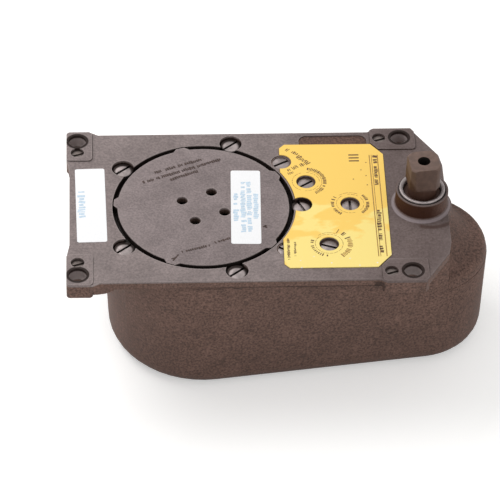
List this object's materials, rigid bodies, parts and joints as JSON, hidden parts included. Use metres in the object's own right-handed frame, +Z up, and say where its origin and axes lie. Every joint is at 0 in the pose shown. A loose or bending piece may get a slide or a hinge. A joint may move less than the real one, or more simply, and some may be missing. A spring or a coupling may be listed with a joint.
{
  "type": "floor spring door closer",
  "caption": "Floor-mounted door closer: cast case with an adjusting spring cap, a sprung spindle with a tapered square, a link and rack drive, and adjustable hydraulic checking",
  "frame": {"origin": "centre of the four mounting holes, on top of their pads", "axes": "+X along the case towards the spindle, +Y across the case, +Z up out of the floor along the spindle"},
  "size_m": [0.2636, 0.1396, 0.1356],
  "materials": {
    "casting": "sand-cast iron with a thin grey-brown paint, matt",
    "cap_casting": "sand-cast iron with a thin grey-brown paint, matt",
    "seal_rubber": "matt",
    "plated_screw": "dull zinc plate",
    "spring_steel": "oil-tempered, dark",
    "ground_steel": "ground",
    "forged_steel": "forged, oiled",
    "bronze": "sintered, oily",
    "spindle_steel": "steel with worn dark paint",
    "retainer_steel": "dull, oily",
    "yellow_plate": "satin printed aluminium",
    "label_paper": "matt paper"
  },
  "bodies": {
    "closer_case": {"case": "casting", "cap_gasket": "seal_rubber", "cap_screws": "plated_screw", "torsion_spring": "spring_steel", "spring_shaft": "ground_steel", "lower_bush": "bronze", "thrust_disc": "ground_steel", "upper_bush": "bronze", "shaft_seal": "seal_rubber", "seal_retainer": "retainer_steel", "cylinder_plug": "plated_screw", "plug_seal": "seal_rubber", "valve_seals": "seal_rubber", "filler_plugs": "plated_screw", "levelling_screws": "plated_screw", "instruction_plate": "yellow_plate", "end_label": "label_paper"},
    "adjusting_cap": {"spring_cap": "cap_casting", "cap_label": "label_paper"},
    "carrier": {"spring_carrier": "forged_steel", "carrier_bush": "bronze", "carrier_ring": "spring_steel", "carrier_pin": "ground_steel", "carrier_pin_clip": "spring_steel"},
    "door_spindle": {"spindle": "spindle_steel", "spindle_crank": "forged_steel", "crank_key": "ground_steel", "crank_ring": "spring_steel", "crank_pin": "ground_steel", "crank_pin_clip": "spring_steel"},
    "drive_link": {"link": "forged_steel"},
    "check_piston": {"piston": "ground_steel", "piston_ring": "bronze", "ball_stop": "ground_steel"},
    "ball": {"check_ball": "ground_steel"},
    "closing_needle": {"closing_valve": "plated_screw"},
    "latching_needle": {"latching_valve": "plated_screw"},
    "backcheck_needle": {"backcheck_valve": "plated_screw"}
  },
  "joints": [
    {"name": "door_turn", "type": "hinge", "parent": "closer_case", "child": "door_spindle", "pos_m": [0.1115, 0, 0], "axis": [0, 0, -1], "range_deg": [0, 120], "stiffness_Nm_per_rad": 8, "springref_deg": -68.75},
    {"name": "carrier_turn", "type": "hinge", "parent": "closer_case", "child": "carrier", "pos_m": [-0.024, 0, -0.07], "axis": [0, 0, -1], "range_deg": [0, 120], "deforming": ["torsion_spring"]},
    {"name": "link_swing", "type": "hinge", "parent": "door_spindle", "child": "drive_link", "pos_m": [0.09072, 0.012, -0.083], "axis": [0, 0, -1], "range_deg": [-120, 0]},
    {"name": "piston_stroke", "type": "slide", "parent": "closer_case", "child": "check_piston", "axis": [1, 0, 0], "range_m": [0, 0.021]},
    {"name": "ball_lift", "type": "slide", "parent": "check_piston", "child": "ball", "axis": [1, 0, 0], "range_m": [0, 0.0008]},
    {"name": "cap_adjust", "type": "hinge", "parent": "closer_case", "child": "adjusting_cap", "pos_m": [-0.024, 0, 0], "axis": [0, 0, 1], "range_deg": [-16, 25], "deforming": ["torsion_spring"]},
    {"name": "closing_turn", "type": "hinge", "parent": "closer_case", "child": "closing_needle", "pos_m": [0.0672, 0, -0.01], "axis": [0, 0, 1], "range_deg": [-90, 450]},
    {"name": "latching_turn", "type": "hinge", "parent": "closer_case", "child": "latching_needle", "pos_m": [0.04074, 0.02079, -0.01], "axis": [0, 0, 1], "range_deg": [-90, 450]},
    {"name": "backcheck_turn", "type": "hinge", "parent": "closer_case", "child": "backcheck_needle", "pos_m": [0.0522, -0.0362, -0.01], "axis": [0, 0, 1], "range_deg": [-90, 450]}
  ],
  "couplings": [
    {"joint": "carrier_turn", "follows": "door_turn", "ratio": 1},
    {"joint": "link_swing", "follows": "door_turn", "ratio": -1},
    {"joint": "piston_stroke", "follows": "door_turn", "m_per_rad": 0.01}
  ]
}
